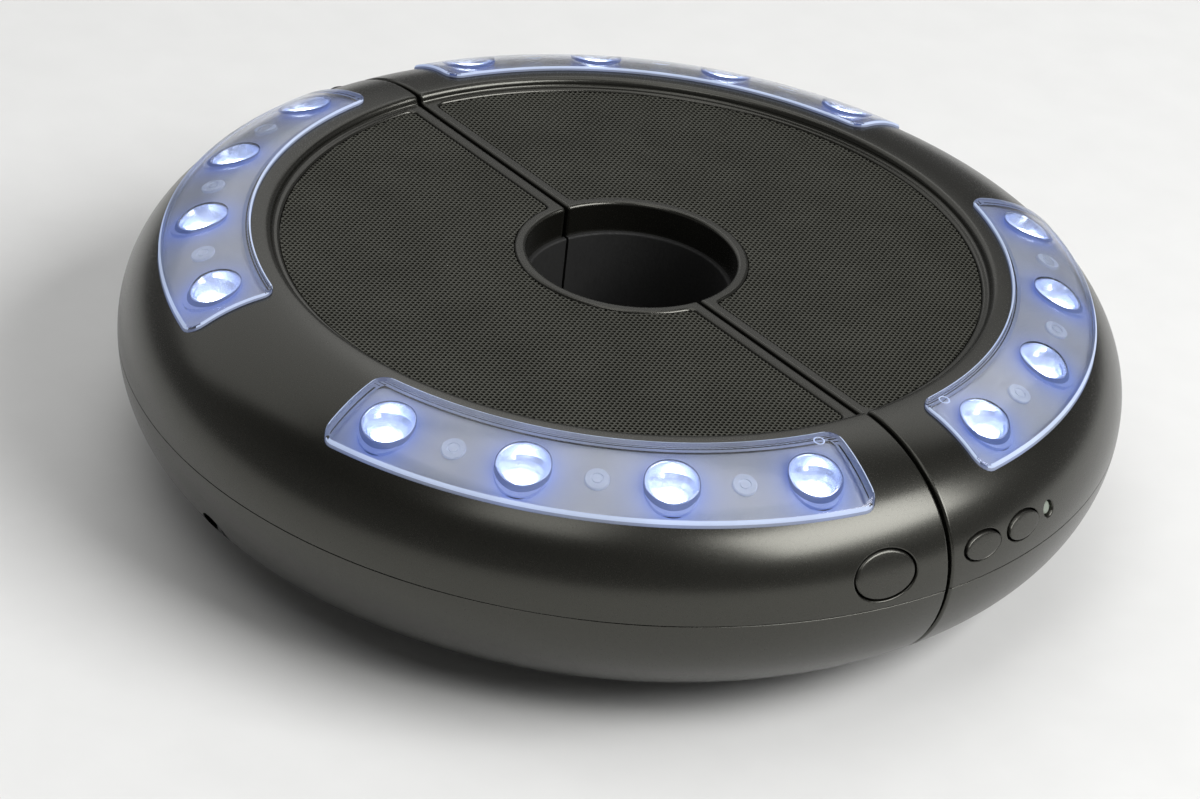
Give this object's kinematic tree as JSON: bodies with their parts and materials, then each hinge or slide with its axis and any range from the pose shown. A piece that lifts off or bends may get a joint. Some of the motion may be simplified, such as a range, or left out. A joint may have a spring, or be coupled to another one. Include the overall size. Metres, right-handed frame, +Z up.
{
  "type": "parasol light and loudspeaker ring",
  "caption": "Black ring that opens like a clam on a hinge and clamps round a parasol pole, with lit lens panels round the rim and perforated loudspeaker grilles on top.",
  "frame": {"origin": "centre of the pole bore, in the plane of the rubber feet", "axes": "+Z up along the pole, X along the split between the halves with the hinge at -X and the release button at +X, +Y towards the half that swings"},
  "size_m": [0.2561, 0.256, 0.0693],
  "materials": {
    "case_plastic": "satin black moulded plastic",
    "grille_metal": "fine perforated sheet, dark coat",
    "rubber": "matte black rubber",
    "steel": "plain bright steel",
    "lens_plastic": "clear to frosted polycarbonate",
    "tray_plastic": "silver-white reflector plastic",
    "lamp_board": "white coated circuit board",
    "lamp_emitter": "white light-emitting diode",
    "speaker_frame_metal": "black coated steel",
    "magnet_metal": "plated magnet and pole plate",
    "speaker_cone": "pressed cone",
    "battery_wrap": "shrink-wrapped cell",
    "inner_plastic": "unpainted inner moulding",
    "circuit_board": "green solder mask",
    "status_lens": "clear light pipe",
    "button_plastic": "satin black moulded plastic"
  },
  "bodies": {
    "half_a": {"upper_case_a": "case_plastic", "lower_case_a": "case_plastic", "grille_a": "grille_metal", "feet_a": "rubber", "case_screws_a": "steel", "pole_liner_a": "rubber", "lamp_lens_1": "lens_plastic", "lamp_tray_1": "tray_plastic", "lamp_board_1": "lamp_board", "lamps_1": "lamp_emitter", "lamp_lens_2": "lens_plastic", "lamp_tray_2": "tray_plastic", "lamp_board_2": "lamp_board", "lamps_2": "lamp_emitter", "speaker_frame_a": "speaker_frame_metal", "speaker_magnet_a": "magnet_metal", "speaker_cone_a": "speaker_cone", "speaker_surround_a": "rubber", "speaker_dust_cap_a": "speaker_cone", "battery_cells": "battery_wrap", "battery_holder": "inner_plastic", "charging_socket": "inner_plastic", "hinge_leaf_a": "steel", "hinge_pin": "steel", "hinge_screws_a": "steel", "release_housing": "inner_plastic"},
    "half_b": {"upper_case_b": "case_plastic", "lower_case_b": "case_plastic", "grille_b": "grille_metal", "feet_b": "rubber", "case_screws_b": "steel", "pole_liner_b": "rubber", "lamp_lens_3": "lens_plastic", "lamp_tray_3": "tray_plastic", "lamp_board_3": "lamp_board", "lamps_3": "lamp_emitter", "lamp_lens_4": "lens_plastic", "lamp_tray_4": "tray_plastic", "lamp_board_4": "lamp_board", "lamps_4": "lamp_emitter", "speaker_frame_b": "speaker_frame_metal", "speaker_magnet_b": "magnet_metal", "speaker_cone_b": "speaker_cone", "speaker_surround_b": "rubber", "speaker_dust_cap_b": "speaker_cone", "main_board": "circuit_board", "board_components": "inner_plastic", "hinge_leaf_b": "steel", "hinge_screws_b": "steel", "latch_strike": "steel", "switch_board": "circuit_board", "status_light": "status_lens"},
    "release_button": {"release_button": "button_plastic", "latch_bolt": "inner_plastic", "release_spring": "steel"},
    "light_button": {"light_button": "button_plastic"},
    "power_button": {"power_button": "button_plastic"}
  },
  "joints": [
    {"name": "half_b_swing", "type": "hinge", "parent": "half_a", "child": "half_b", "pos_m": [-0.1245, 0, 0.039], "axis": [0, 0, 1], "range_deg": [0, 75]},
    {"name": "release_press", "type": "slide", "parent": "half_a", "child": "release_button", "axis": [-0.9888, 0.149, 0], "range_m": [0, 0.0025], "stiffness_N_per_m": 900, "springref_m": -0.002},
    {"name": "light_press", "type": "slide", "parent": "half_b", "child": "light_button", "axis": [-0.9963, -0.0854, 0], "range_m": [0, 0.0008], "stiffness_N_per_m": 1200, "springref_m": -0.001},
    {"name": "power_press", "type": "slide", "parent": "half_b", "child": "power_button", "axis": [-0.9792, -0.2028, 0], "range_m": [0, 0.0008], "stiffness_N_per_m": 1200, "springref_m": -0.001}
  ]
}
